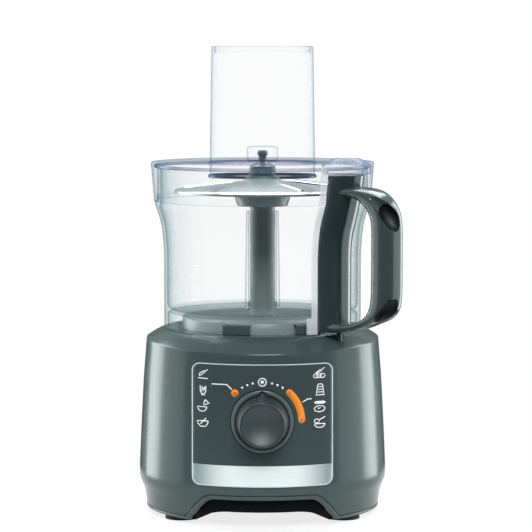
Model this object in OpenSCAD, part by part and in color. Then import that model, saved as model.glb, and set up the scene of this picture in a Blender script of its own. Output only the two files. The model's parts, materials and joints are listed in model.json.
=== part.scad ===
/* [Base] */
// Widest radius of the motor base
base_r = 98.8; // [96:0.2:101]
// Height of the deck that the bowl stands on; this and every height is from under the base plate
deck_z = 143.2; // [141:0.1:145]
// Wall thickness of the motor housing
housing_wall = 2.6; // [2:0.1:3]
// Height of the rubber feet below the base plate
foot_h = 3.6; // [3:0.2:5]
// Radius of each rubber foot
foot_r = 13; // [11:0.5:14]
// Top of the arch under the front of the base
arch_z = 18.6; // [14:0.2:21]
// Radius of the raised hub that centres the bowl
hub_r = 64; // [60:0.5:66]

/* [Controls] */
// Half width of the control panel
panel_half = 54.4; // [50:0.2:56]
// Lower edge of the control panel
panel_low = 29.4; // [28:0.2:32]
// Upper edge of the control panel
panel_high = 123.8; // [120:0.1:127]
// Height of the bare strip along the bottom of the panel
strip_h = 16.4; // [12:0.2:20]
// Height of the dial's axis
dial_z = 80; // [76:0.2:84]
// Radius of the dial
dial_r = 20.2; // [18:0.1:21]
// How far the dial stands out from the panel
dial_reach = 21; // [16:0.5:22]

/* [Bowl] */
// Outer radius of the bowl's straight wall
bowl_r = 78.6; // [78:0.1:79]
// Outer radius of the bowl where the lid begins
bowl_top_r = 86.2; // [86:0.1:86.4]
// Wall thickness of the bowl
bowl_wall = 2.4; // [2:0.1:2.6]
// Height of the bowl's floor
floor_z = 158; // [157:0.5:159]
// Height of the step where the lid's skirt ends
step_z = 244; // [243.5:0.5:244]

/* [Lid] */
// Height of the lid's flat top
lid_z = 275.4; // [275:0.2:276]
// Top of the feed tube
tube_z = 366.4; // [350:0.2:380]
// Half width of the feed tube
tube_half = 41; // [38:0.5:42]
// Depth of the feed tube from front to back
tube_depth = 62; // [56:1:63]
// Wall thickness of the lid and the feed tube
lid_wall = 2.2; // [1.8:0.1:2.4]

/* [Handle] */
// Direction of the handle, turned from straight right towards the front
handle_turn = 45; // [40:1:50]
// Distance from the spindle to the outside of the grip
grip_out = 144.5; // [136:0.5:146]
// Depth of the grip towards the bowl
grip_depth = 18.5; // [17:0.5:20]
// Width of the grip
grip_w = 24; // [20:0.5:26]
// Radius of the column that joins the handle to the bowl
column_r = 13.8; // [13.4:0.1:14.2]
// How much further the column reaches towards the front
column_wing = 3.2; // [2:0.1:3.4]

/* [Tools in the bowl] */
// Radius of the slicing disc
disc_r = 70.5; // [68:0.5:72]
// Height of the disc's rim
disc_z = 252; // [251:0.5:253]

/* [Drive] */
// Teeth of the motor's pulley
motor_teeth = 15; // [15:1:16]
// Teeth of the spindle's pulley
spindle_teeth = 60; // [56:1:62]
// Pitch of the toothed belt
belt_pitch = 3; // [3:0.1:3.1]
// Distance from the spindle to the motor's shaft
motor_y = 50; // [48:0.5:52]

/* [Hidden] */
$fn = 96;
// Clearance round a turning shaft and beside a sliding piece
run_gap = 0.05;
slide_gap = 0.3;

// The origin is the middle of the footprint on the worktop, so the spindle stands a little off it
grip_corner = 8;
column_low_u = 78.2;
column_top_u = 92;
handle_x = (grip_out - grip_corner) * cos(handle_turn) + (grip_w / 2 - grip_corner) * sin(handle_turn)
    + grip_corner;
dial_face_r = 96.4;
spindle_x = (base_r - handle_x) / 2;
gland_reach = 101.6;
spindle_y = (dial_face_r + dial_reach - gland_reach) / 2;

// Outline of the base: height, then how far the wall lies inside the widest radius
base_side = [[0, 5.8], [4, 5.5], [9, 5], [14, 4.2], [19, 2.2], [23, 0.5], [27, 0], [34, 0.2], [60, 1.3],
    [82, 2.4], [104, 3.6], [122, 5], [131, 5.7], [134.5, 5.9]];
shoulder = [[90.9, 137.2], [86.2, 140.2], [82, 142.2], [79.2, 143.2]];
function base_radius(z) = base_r - lookup(z, base_side);

// Outline of the bowl's outer wall from its skirt to the step
bowl_side = [[143.5, bowl_r], [200, bowl_r], [211, bowl_r + 0.6], [219, bowl_r + 1.3],
    [224.8, bowl_r + 2.1], [229, bowl_r + 3], [232.8, bowl_r + 4.1], [236.5, bowl_r + 5.4],
    [240, bowl_top_r - 1], [step_z, bowl_top_r]];
wall_side = [[floor_z - 2.4, bowl_r], for (p = bowl_side) if (p[0] > floor_z) p];
bowl_rim_z = lid_z - lid_wall - 2.8;
lid_low_r = bowl_top_r + 0.3;
rim_r = lid_low_r - lid_wall - 0.4;
lid_top_r = lid_low_r + 2.4;

// Axis of the handle's column: height, then distance from the spindle
column_line = [[145.5, column_low_u], [206, column_low_u], [219.5, 79.9], [229, 82.7], [254, 89.4],
    [267.4, column_top_u]];
rod_low_u = 87.8;
rod_top_u = 94.8;
plunger_u = 84.5;

motor_pitch_r = motor_teeth * belt_pitch / PI / 2;
spindle_pitch_r = spindle_teeth * belt_pitch / PI / 2;
belt_z = 17;
belt_w = 9;
plate_z = 36;
gland_z = 24;
seam_z = 2.8;
tube_y = -12.5 - tube_depth / 2;

module on_spindle() {
    translate([spindle_x, spindle_y, foot_h]) children();
}

module on_motor() {
    on_spindle() translate([0, motor_y, 0]) children();
}

module on_handle() {
    on_spindle() rotate([0, 0, -handle_turn]) children();
}

module on_dial() {
    on_spindle() translate([0, -dial_face_r, dial_z]) rotate([90, 0, 0]) children();
}

module ring(outer, inner, low, high) {
    translate([0, 0, low]) difference() {
        cylinder(r = outer, h = high - low);
        translate([0, 0, -1]) cylinder(r = inner, h = high - low + 2);
    }
}

module rounded_square(w, h, r) {
    square([w - 2 * r, h], center = true);
    square([w, h - 2 * r], center = true);
    for (x = [-1, 1], y = [-1, 1]) translate([x * (w / 2 - r), y * (h / 2 - r)]) circle(r = r);
}

module rounded_block(w, d, h, r) {
    linear_extrude(h) rounded_square(w, d, r);
}

// A layer of the base's wall between two offsets from its outer face
module wall_layer(inside, outside, low, high) {
    heights = [low, for (p = base_side) if (p[0] > low && p[0] < high) p[0], high];
    last = len(heights) - 1;
    rotate_extrude() polygon([
        for (z = heights) [base_radius(z) + outside, z],
        for (i = [last : -1 : 0]) [base_radius(heights[i]) + inside, heights[i]]]);
}

// The space inside the front half of the base under an arch with its crown at the given height
module arch(crown, foot_half, crown_half, low) {
    left = [for (i = [0 : 8])
        [-foot_half + i / 8 * (foot_half - crown_half), low + (crown - low) * sin(90 * i / 8)]];
    right = [for (i = [8 : -1 : 0]) [-left[i][0], left[i][1]]];
    rotate([90, 0, 0]) linear_extrude(120)
        polygon(concat([[-foot_half, -1]], left, right, [[foot_half, -1]]));
}

// The front outline of the panel, shrunk by a margin
module panel_shape(margin) {
    w = 2 * (panel_half - margin);
    h = panel_high - panel_low - 2 * margin;
    translate([0, 0, (panel_high + panel_low) / 2]) rotate([90, 0, 0]) linear_extrude(120)
        rounded_square(w, h, 6.4 - margin);
}

module coil_spring(r, wire_r, low, high, turns) {
    sides = 6;
    per_turn = 12;
    count = turns * per_turn;
    at = function(i) let(a = 360 * i / per_turn, z = low + wire_r + (high - low - 2 * wire_r) * i / count)
        [for (k = [0 : sides - 1]) let(b = 360 * k / sides)
            [(r + wire_r * cos(b)) * cos(a), (r + wire_r * cos(b)) * sin(a), z + wire_r * sin(b)]];
    points = [for (i = [0 : count]) each at(i)];
    walls = [for (i = [0 : count - 1], k = [0 : sides - 1])
        let(a = i * sides + k, b = i * sides + (k + 1) % sides)
        each [[a, a + sides, b + sides], [a, b + sides, b]]];
    first_end = [for (k = [0 : sides - 1]) k];
    last_end = [for (k = [sides - 1 : -1 : 0]) count * sides + k];
    polyhedron(points, concat(walls, [first_end, last_end]));
}

// Root: the motor base

module motor_housing() color("#5e6b69") on_spindle() {
    difference() {
        union() {
            difference() {
                rotate_extrude() polygon(concat([[0, seam_z]], [[base_radius(seam_z), seam_z]],
                    [for (p = base_side) if (p[0] > seam_z) [base_r - p[1], p[0]]],
                    shoulder, [[0, deck_z]]));
                rotate_extrude() polygon(concat([[0, 2], [base_radius(2) - housing_wall, 2]],
                    [for (p = base_side) if (p[0] > 2 && p[0] < 132) [base_r - p[1] - housing_wall, p[0]]],
                    [[88.2, 133.4], [78, deck_z - 3], [66, deck_z - housing_wall], [0, deck_z - housing_wall]]));
            }
            ring(hub_r, hub_r - 2.4, deck_z - 1, 152);
            ring(hub_r, 12, 149.8, 152);
            for (a = [64, 112, 244, 292]) rotate([0, 0, a]) bayonet_lug();
            difference() {
                translate([0, 0, 118]) cylinder(r = 17, h = 31.8);
                translate([0, 0, 117]) cylinder(r = 12, h = 40);
            }
            for (a = [40, 140, 220, 320]) rotate([0, 0, a]) translate([83, 0, 4]) screw_boss();
        }
        translate([0, 0, 100]) cylinder(r = 12, h = 60);
        arch(arch_z + 4.1, 61, 37, seam_z);
        intersection() {
            panel_shape(0);
            wall_layer(-1, 5, panel_low - 1, panel_high + 1);
        }
        translate([0, -70, dial_z]) rotate([90, 0, 0]) cylinder(r = 23, h = 40);
        rotate([0, 0, -handle_turn]) translate([plunger_u, 0, 132]) cylinder(r = 2.3, h = 20);
        translate([0, 85, gland_z]) rotate([-90, 0, 0]) cylinder(r = 6, h = 20);
    }
}

// A lug under the rim of the hub, over which the bowl's own lugs turn home
module bayonet_lug() {
    rotate_extrude(angle = 18) translate([hub_r - 0.5, 147]) square([7, 3.4]);
}

module screw_boss() {
    difference() {
        cylinder(r = 4.5, h = 20);
        translate([0, 0, -1]) cylinder(r = 1.6, h = 16);
    }
    translate([4, -1.5, 0]) cube([5, 3, 20]);
}

module base_trim() color("#78837f") on_spindle() difference() {
    wall_layer(-housing_wall, 0, 0, 27);
    difference() {
        translate([-150, -150, seam_z]) cube([300, 300, 40]);
        arch(arch_z + 4, 60.9, 36.9, seam_z);
    }
    arch(arch_z, 58, 36, -1);
}

module base_plate() color("#2b2f30") on_spindle() difference() {
    union() {
        cylinder(r = 90.1, h = 2.6);
        for (a = [40, 140, 220, 320]) rotate([0, 0, a]) translate([83, 0, 0]) cylinder(r = 4.5, h = 4);
        for (x = [-63.5, 63.5], y = [-45, 45]) translate([x, y, 0]) cylinder(r = 9, h = 4);
        for (a = [45 : 90 : 315]) rotate([0, 0, a]) translate([58, 0, 2]) cylinder(r = 4, h = plate_z - 2);
        intersection() {
            ring(90, 87, 0, arch_z + 3.4);
            arch(arch_z + 3.4, 59, 36.5, 2.4);
        }
        finger_recess(2, 89, 10.4);
    }
    translate([0, 0, -2]) finger_recess(0, 95, 10.4);
    for (a = [40, 140, 220, 320]) rotate([0, 0, a]) translate([83, 0, -5]) cylinder(r = 1.8, h = 12);
    for (a = [40, 140, 220, 320]) rotate([0, 0, a]) translate([83, 0, -5]) cylinder(r = 3.6, h = 6.4);
    for (x = [-63.5, 63.5], y = [-45, 45]) translate([x, y, -5]) cylinder(r = 4, h = 8);
    for (i = [-4 : 4]) translate([i * 7 - 1.5, 22, -5]) cube([3, 44, 12]);
}

// A step up under the front edge, where the fingers go to lift the machine
module finger_recess(wall, reach, high) {
    intersection() {
        hull() for (p = [[40, -90], [40, -76], [30, -52]], side = [-1, 1])
            translate([side * p[0], p[1], 0]) cylinder(r = 12 + wall, h = high);
        cylinder(r = reach, h = high);
    }
}

module rubber_feet() color("#1b1c1d") on_spindle()
    for (x = [-63.5, 63.5], y = [-45, 45]) translate([x, y, 0]) {
        translate([0, 0, -foot_h]) cylinder(r = foot_r, h = foot_h);
        translate([0, 0, -1]) cylinder(r = 4, h = 4);
    }

module control_panel() color("#3f4a4d") on_spindle() difference() {
    intersection() {
        panel_shape(1);
        wall_layer(-1, 0, panel_low, panel_high);
    }
    translate([0, -80, dial_z]) rotate([90, 0, 0]) cylinder(r = 24.2, h = 40);
    translate([-80, -120, 0]) cube([160, 60, panel_low + strip_h]);
}

module panel_frame() color("#c9cfcf") on_spindle() intersection() {
    difference() {
        panel_shape(0);
        panel_shape(1);
    }
    wall_layer(-1, 0.25, panel_low - 1, panel_high + 1);
}

module blank_strip() color("#dfe3e3") on_spindle() intersection() {
    panel_shape(1);
    wall_layer(-1, 0.2, panel_low, panel_low + strip_h);
}

module dial_bezel() color("#23292b") on_spindle() difference() {
    intersection() {
        translate([0, -80, dial_z]) rotate([90, 0, 0]) cylinder(r = 24.2, h = 40);
        wall_layer(-1, 1.2, panel_low, panel_high);
    }
    translate([0, -80, dial_z]) rotate([90, 0, 0]) cylinder(r = dial_r + 0.9, h = 40);
}

module rotary_switch() color("#d8d4c8") on_dial() difference() {
    union() {
        translate([0, 0, -30]) rounded_block(34, 34, 20, 4);
        translate([0, 0, -10]) cylinder(r = 7, h = 6);
    }
    translate([0, 0, -26]) cylinder(r = 3 + run_gap, h = 30);
}

module control_board() color("#2f6b45") on_spindle() translate([0, -60, 80]) rotate([90, 0, 0])
    rounded_block(84, 72, 1.6, 3);

module bearing_plate() color("#b9bdbd") on_spindle() difference() {
    translate([0, 0, plate_z]) cylinder(r = 66, h = 3);
    translate([0, 0, plate_z - 1]) cylinder(r = 9, h = 5);
    translate([0, motor_y, plate_z - 1]) cylinder(r = 8, h = 5);
    translate([-80, 62, plate_z - 1]) cube([160, 10, 5]);
}

module spindle_bearings() color("#b08d57") on_spindle() {
    ring(9, 5 + run_gap, plate_z - 6, plate_z + 8);
    ring(12, 5 + run_gap, 121, 148);
}

// Motor: the pieces that stay still

module motor_corners() {
    for (x = [-26, 26], y = [-24, 24]) translate([x, y, 0]) children();
}

module motor_stator() color("#8d9193") on_motor() difference() {
    translate([0, 0, 62]) rounded_block(62, 58, 26, 9);
    translate([0, 0, 61]) cylinder(r = 19.5, h = 28);
    for (x = [-24.5, 24.5]) translate([x - 3.5, -14, 61]) cube([7, 28, 28]);
    motor_corners() translate([0, 0, 61]) cylinder(r = 3, h = 28);
}

module field_windings() color("#a8552c") on_motor() for (x = [-24.5, 24.5])
    translate([x, 0, 56]) rounded_block(6.8, 27.8, 37, 3);

module motor_end_frames() color("#9ba1a2") on_motor() {
    motor_corners() translate([0, 0, 53]) cylinder(r = 3, h = 53);
    difference() {
        union() {
            translate([0, 0, 50]) rounded_block(62, 58, 3, 9);
            translate([0, 0, 50]) cylinder(r = 10, h = 8);
        }
        translate([0, 0, 49]) cylinder(r = 7, h = 10);
    }
    difference() {
        union() {
            translate([0, 0, 106]) rounded_block(62, 58, 3, 9);
            translate([0, 0, 104.6]) cylinder(r = 10, h = 8);
        }
        translate([0, 0, 103]) cylinder(r = 7, h = 12);
        for (y = [-20, 20]) translate([-16, y - 5, 105]) cube([32, 10, 5]);
    }
}

module motor_bearings() color("#b08d57") on_motor() {
    ring(7, 4 + run_gap, 50, 58);
    ring(7, 4 + run_gap, 104.6, 112.6);
}

module brush_holders() color("#b8923f") on_motor() for (side = [0, 180]) rotate([0, 0, side]) difference() {
    translate([13, -5, 94]) cube([13, 10, 12]);
    translate([12, -3, 96]) cube([15, 6, 6]);
}

module carbon_brushes() color("#26282a") on_motor() for (side = [0, 180]) rotate([0, 0, side])
    translate([11.1, -3, 96]) cube([13, 6, 6]);

module motor_buffers() color("#1f2122") on_motor() motor_corners() ring(5, 2, plate_z + 3, 50);

module motor_screws() color("#c3c7c8") on_motor() motor_corners() {
    translate([0, 0, plate_z + 3]) cylinder(r = 2, h = 11);
    translate([0, 0, 109]) cylinder(r = 4, h = 2.5);
}

module suppression_capacitor() color("#d9a520") on_spindle() translate([-52, 14, plate_z + 3])
    rounded_block(12, 26, 20, 2);

module interlock_switch() color("#31353a") on_handle() translate([80.5, 0, 99])
    rounded_block(18, 10, 19, 1.5);

module plunger_spring() color("#aeb4b6") on_handle() translate([plunger_u, 0, 0])
    coil_spring(3.2, 0.4, 118, 128, 5);

module housing_screws() color("#b9bdbe") on_spindle() for (a = [40, 140, 220, 320])
    rotate([0, 0, a]) translate([83, 0, 0]) {
        translate([0, 0, 0.05]) cylinder(r = 3.4, h = 1.35);
        translate([0, 0, 1.4]) cylinder(r = 1.55, h = 15);
    }

module cord_gland() color("#1d1f20") on_spindle() difference() {
    union() {
        difference() {
            translate([0, 92, gland_z]) rotate([-90, 0, 0]) cylinder(r = 9, h = gland_reach - 92);
            wall_layer(-60, 0, 9, 50);
        }
        translate([0, 90, gland_z]) rotate([-90, 0, 0]) cylinder(r = 6, h = 9.6);
    }
    translate([0, 89, gland_z]) rotate([-90, 0, 0]) cylinder(r = 3.6, h = 20);
}

module belt_loop(margin) {
    hull() {
        circle(r = spindle_pitch_r + margin);
        translate([0, motor_y]) circle(r = motor_pitch_r + margin);
    }
}

module drive_belt() color("#222425") on_spindle() translate([0, 0, belt_z - belt_w / 2])
    linear_extrude(belt_w) difference() {
        belt_loop(1);
        belt_loop(-0.6);
    }

// Plunger that the handle's rod presses to make the safety switch

module interlock_plunger() color("#e6e6e2") on_handle() translate([plunger_u, 0, 0]) {
    translate([0, 0, 128]) cylinder(r = 2.2, h = 16);
    translate([0, 0, 128]) cylinder(r = 4, h = 1.8);
}

// Speed dial

module speed_dial() color("#3b4446") on_dial() difference() {
    union() {
        rotate_extrude() polygon([[0, 1.6], [dial_r, 1.6], [dial_r - 0.4, 5],
            [dial_r - 2.6, dial_reach - 2.5],
            [dial_r - 3.2, dial_reach - 0.6], [dial_r - 4, dial_reach], [dial_r - 4.8, dial_reach - 0.4],
            [8, dial_reach - 2.2], [0, dial_reach - 2.8]]);
        translate([0, 0, -24]) cylinder(r = 3, h = 26);
        translate([0, 0, 1.6]) linear_extrude(9) polygon([[-3, 19], [3, 19], [0.6, 22.6], [-0.6, 22.6]]);
    }
}

// Motor: the pieces that turn

module armature_shaft() color("#cfd3d4") on_motor() translate([0, 0, 11]) cylinder(r = 4, h = 103);

module armature_core() color("#85898b") on_motor() difference() {
    translate([0, 0, 62]) cylinder(r = 18.9, h = 26);
    translate([0, 0, 61]) cylinder(r = 4, h = 28);
    for (a = [0 : 30 : 330]) rotate([0, 0, a]) translate([12, -1.4, 61]) cube([8, 2.8, 28]);
}

module commutator() color("#b87333") on_motor() ring(11, 4, 93.5, 103.5);

module cooling_fan() color("#3a3d3e") on_motor() {
    ring(8, 4, 41, 49);
    for (a = [0 : 40 : 320]) rotate([0, 0, a]) translate([7, -0.8, 42.5]) cube([17, 1.6, 6]);
    ring(25, 4, 41, 42.5);
}

module pulley(pitch_r, bore_r) {
    ring(pitch_r - 0.8, bore_r, belt_z - belt_w / 2 - 1.5, belt_z + belt_w / 2 + 1.5);
    ring(pitch_r + 1.8, bore_r, belt_z - belt_w / 2 - 1.8, belt_z - belt_w / 2 - 0.3);
    ring(pitch_r + 1.8, bore_r, belt_z + belt_w / 2 + 0.3, belt_z + belt_w / 2 + 1.8);
}

module motor_pulley() color("#c8ccd0") on_motor() pulley(motor_pitch_r, 4);

// Spindle

module drive_spindle() color("#d5d8d9") on_spindle() translate([0, 0, 10]) cylinder(r = 5, h = 150);

module spindle_pulley() color("#e4e1d6") on_spindle() pulley(spindle_pitch_r, 5);

module drive_coupling() color("#d9dadb") on_spindle() difference() {
    translate([0, 0, 152.5]) cylinder(r = 7.5, h = 15, $fn = 6);
    translate([0, 0, 151]) cylinder(r = 5, h = 9);
}

// Bowl

module bowl() color("#dfe9ea", 0.35) on_spindle() {
    top = len(wall_side) - 1;
    rotate_extrude() polygon(concat(
        [for (p = wall_side) [p[1], p[0]]],
        [[rim_r - 0.3, step_z], [rim_r, bowl_rim_z], [rim_r - bowl_wall, bowl_rim_z],
            [rim_r - bowl_wall - 0.3, step_z - 2]],
        [for (i = [top - 3 : -1 : 0]) [wall_side[i][1] - bowl_wall, wall_side[i][0]]]));
    rotate([0, 0, -handle_turn]) translate([0, -column_r - column_wing - 0.3, 0]) rotate([90, 0, 0])
        linear_extrude(3) polygon(concat(
            [for (p = wall_side) [p[1] - 1.5, p[0]]],
            [for (i = [top : -1 : 0]) [wall_side[i][1] + 5, wall_side[i][0]]]));
}

// The floor carries the tube round the spindle, and the skirt that turns on the hub
module bowl_floor() color("#dfe9ea", 0.35) on_spindle() {
    rotate_extrude() polygon([[bowl_r, 143.5], [bowl_r, floor_z - 2.4], [bowl_r - bowl_wall, floor_z - 2.4],
        [bowl_r - bowl_wall, floor_z + 3], [bowl_r - bowl_wall - 2.5, floor_z], [14, floor_z], [13, 236],
        [11.5, 236], [11.5, floor_z - 2.4], [bowl_r - 2.7, floor_z - 2.4], [bowl_r - 2.7, 143.5]]);
    for (a = [86, 134, 266, 314]) rotate([0, 0, a]) rotate_extrude(angle = 18)
        translate([hub_r + 7.6, 145.5]) square([bowl_r - 2.7 - hub_r - 7.5, 3]);
}

module handle_column() color("#5a6765") on_handle() difference() {
    for (i = [0 : len(column_line) - 2]) hull() for (p = [column_line[i], column_line[i + 1]])
        translate([p[1], 0, p[0] - (p[0] > 260 ? 0.4 : 0)]) column_slice();
    rotate_extrude() polygon(concat([[0, 140]], [[bowl_r + 0.05, 140]],
        [for (p = bowl_side) if (p[0] > 150) [p[1] + 0.05, p[0]]],
        [[lid_low_r + 0.1, step_z - 0.6], [lid_low_r + slide_gap, step_z - 0.6],
            [lid_top_r + slide_gap, lid_z], [0, lid_z]]));
    translate([rod_low_u, 0, 140]) cylinder(r = 1.5 + run_gap, h = 97);
    translate([81.2, -2.4, 140]) cube([8.6, 4.8, 10.8]);
    translate([86, -1.9, 236.2]) cube([11, 3.8, 7.4]);
    translate([rod_top_u, 0, 236.2]) cylinder(r = 2 + run_gap, h = 40);
    translate([rod_top_u, 0, 246]) cylinder(r = 3.5, h = 17.5);
}

// One thin slice of the column, wider towards the front
module column_slice() {
    for (y = [0, -column_wing]) translate([0, y, 0]) cylinder(r = column_r, h = 0.4, $fn = 40);
}

module handle_outline() {
    difference() {
        hull() {
            translate([grip_out - 30, 228.3]) circle(r = 30);
            translate([grip_out - 16, 172.4]) circle(r = 16);
            translate([98, 151.9]) circle(r = 6);
            translate([80, 248.3]) circle(r = 10);
        }
        hull() {
            translate([grip_out - grip_depth - 20, 230]) circle(r = 20);
            translate([grip_out - grip_depth - 14, 167.9]) circle(r = 14);
            for (z = [163.9, 240]) translate([66, z]) circle(r = 10);
        }
    }
}

module bowl_handle() color("#5e6b69") on_handle() difference() {
    intersection() {
        translate([0, grip_w / 2, 0]) rotate([90, 0, 0]) linear_extrude(grip_w) handle_outline();
        translate([0, 0, 140]) linear_extrude(130) {
            translate([60, -grip_w / 2]) square([grip_out - 60 - grip_corner, grip_w]);
            translate([60, grip_corner - grip_w / 2]) square([grip_out - 60, grip_w - 2 * grip_corner]);
            for (y = [-1, 1]) translate([grip_out - grip_corner, y * (grip_w / 2 - grip_corner)])
                circle(r = grip_corner);
        }
    }
    column_space();
    for (z = [168, 238]) translate([grip_out - 10, grip_w / 2 - 9, z])
        rotate([-90, 0, 0]) cylinder(r = 5.5, h = 12);
}

// What the arms of the handle leave free: the bowl, its rib and the column
module column_space() {
    translate([0, 0, 120]) cylinder(r = bowl_r + 0.4, h = 60);
    hull() for (z = [120, 170]) translate([column_low_u, 0, z]) column_slice();
    translate([0, 0, 230]) cylinder(r = 90.2, h = 50);
    hull() for (p = [[229, 82.7], [262, 91.3]]) translate([p[1], 0, p[0]]) column_slice();
    translate([60, -column_r - column_wing - 3.5, 120]) cube([23.8, 4, 60]);
}

module rod_spring() color("#aeb4b6") on_handle() translate([rod_top_u, 0, 0])
    coil_spring(2.7, 0.35, 246, 257, 6);

module interlock_rod() color("#e3e4e0") on_handle() {
    translate([rod_low_u, 0, 145]) cylinder(r = 1.5, h = 93);
    translate([81.8, -1.9, 144.4]) cube([7.4, 3.8, 1.8]);
    translate([rod_low_u, -1.5, 236.5]) cube([rod_top_u - rod_low_u, 3, 3]);
    translate([rod_top_u, 0, 236.5]) cylinder(r = 2, h = 31.5);
    translate([rod_top_u, 0, 257]) cylinder(r = 3.1, h = 1.5);
}

// Tool

module tool_shaft() color("#8c9392") on_spindle() difference() {
    translate([0, 0, 153.2]) cylinder(r = 10, h = 95);
    translate([0, 0, 152]) cylinder(r = 7.9, h = 17.5, $fn = 6);
}

module disc_hub() color("#7b8382") on_spindle() difference() {
    rotate_extrude() polygon([[10, 240], [20, 240], [22, 246], [22, disc_z + 7.2], [15, disc_z + 8.3],
        [13, disc_z + 12], [10, disc_z + 12]]);
    translate([0, 0, 100]) cylinder(r = 10, h = 148.2);
}

module slicing_disc() color("#c6cacb") on_spindle() difference() {
    rotate_extrude() polygon([[22, disc_z + 7.2], [disc_r - 3, disc_z + 1.4], [disc_r, disc_z + 0.4],
        [disc_r, disc_z - 1.4], [disc_r - 1.4, disc_z - 1.4], [disc_r - 3, disc_z - 0.2],
        [22, disc_z + 5.6]]);
    translate([26, -4, disc_z - 3]) cube([38, 9, 14]);
}

module disc_blade() color("#dfe2e3") on_spindle() translate([0, 0, disc_z + 7.4]) rotate([0, 7, 0])
    translate([23, -1, -0.4]) cube([41, 8, 1.2]);

module shaft_cap() color("#4d5655") on_spindle() rotate_extrude() polygon([[0, 248.2], [10, 248.2],
    [10, disc_z + 12], [12, disc_z + 12], [10.4, 267.5], [10.2, 271.6], [5, 274.6], [3.3, 275.6],
    [3.3, 280], [4.2, 280.8], [4.2, 283], [3, 284.2], [0, 284.2]]);

// Lid

module lid() color("#e2ebec", 0.35) on_spindle() {
    difference() {
        union() {
            rotate_extrude() polygon([[0, lid_z], [lid_top_r - 1.5, lid_z], [lid_top_r, lid_z - 1.2],
                [lid_low_r, step_z], [lid_low_r - lid_wall, step_z],
                [lid_top_r - lid_wall, lid_z - lid_wall], [0, lid_z - lid_wall]]);
            translate([0, tube_y, 264.5]) rounded_block(2 * tube_half, tube_depth, tube_z - 264.5, 28);
            cap_dome();
            difference() {
                rotate([0, 0, -handle_turn]) translate([column_top_u, 0, 268.3]) lid_tab();
                cylinder(r = lid_top_r - lid_wall, h = lid_z);
            }
        }
        translate([0, tube_y, 260]) rounded_block(2 * (tube_half - lid_wall), tube_depth - 2 * lid_wall,
            tube_z - 240, 28 - lid_wall);
        translate([0, 0, 260]) cylinder(r = 11, h = 26);
    }
}

module cap_dome() {
    translate([0, 0, lid_z - lid_wall]) cylinder(r = 12.4, h = 287.4 - lid_z + lid_wall);
}

module lid_tab() {
    cylinder(r = 19, h = lid_z - 268.3);
    translate([0, 0, lid_z - 268.3]) cylinder(r1 = 18.6, r2 = 10, h = 4.9);
}

motor_housing();
base_trim();
base_plate();
rubber_feet();
control_panel();
panel_frame();
blank_strip();
dial_bezel();
rotary_switch();
control_board();
bearing_plate();
spindle_bearings();
motor_stator();
field_windings();
motor_end_frames();
motor_bearings();
brush_holders();
carbon_brushes();
motor_buffers();
motor_screws();
suppression_capacitor();
interlock_switch();
plunger_spring();
housing_screws();
cord_gland();
drive_belt();
interlock_plunger();
speed_dial();
armature_shaft();
armature_core();
commutator();
cooling_fan();
motor_pulley();
drive_spindle();
spindle_pulley();
drive_coupling();
bowl();
bowl_floor();
handle_column();
bowl_handle();
rod_spring();
interlock_rod();
tool_shaft();
disc_hub();
slicing_disc();
disc_blade();
shaft_cap();
lid();
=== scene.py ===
"""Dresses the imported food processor: moulded shells, printed panel, clear bowl and lid, cutting tool."""
import json
import math

import bmesh
import bpy
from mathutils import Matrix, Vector


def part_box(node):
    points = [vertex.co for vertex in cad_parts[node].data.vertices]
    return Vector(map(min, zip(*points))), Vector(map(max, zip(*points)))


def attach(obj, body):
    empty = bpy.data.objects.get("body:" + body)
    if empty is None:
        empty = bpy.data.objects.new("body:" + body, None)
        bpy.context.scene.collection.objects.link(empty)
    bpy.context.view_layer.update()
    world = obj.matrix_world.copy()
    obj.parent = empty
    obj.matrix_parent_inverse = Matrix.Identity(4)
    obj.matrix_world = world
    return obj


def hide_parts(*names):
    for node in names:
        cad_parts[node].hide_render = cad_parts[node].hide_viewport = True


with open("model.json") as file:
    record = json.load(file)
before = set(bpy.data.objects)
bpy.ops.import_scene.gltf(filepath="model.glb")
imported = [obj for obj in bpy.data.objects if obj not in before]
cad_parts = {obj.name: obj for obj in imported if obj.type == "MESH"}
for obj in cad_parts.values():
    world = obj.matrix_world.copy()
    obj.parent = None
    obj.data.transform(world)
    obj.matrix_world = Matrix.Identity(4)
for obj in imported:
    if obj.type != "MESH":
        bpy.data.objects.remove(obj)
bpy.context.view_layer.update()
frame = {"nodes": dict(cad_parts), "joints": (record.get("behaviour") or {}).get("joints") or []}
nodes = frame["nodes"]
joints = {joint["name"]: joint for joint in frame["joints"]}

# Pieces and the camera are given in millimetres, lamps and the floor in metres.
MM = 0.001
SPINDLE = Vector(joints["spindle_spin"]["pos_m"][:2] + [0]) / MM
DIAL = Vector(joints["speed_dial_turn"]["pos_m"]) / MM
HANDLE_TURN = math.radians(-45)


def put_in_scene(name, data):
    thing = bpy.data.objects.new(name, data)
    bpy.context.scene.collection.objects.link(thing)
    return thing


# Camera and lamps

FOCAL_LENGTH = 166.3
CAMERA_ASIDE = 2.8
CAMERA_BACK = 1960
CAMERA_HEIGHT = 356.4
CAMERA_TILT = 4.7

WHITE_LIGHT = (1, 1, 1)
COOL_LIGHT = (0.91, 1, 1)
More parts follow.
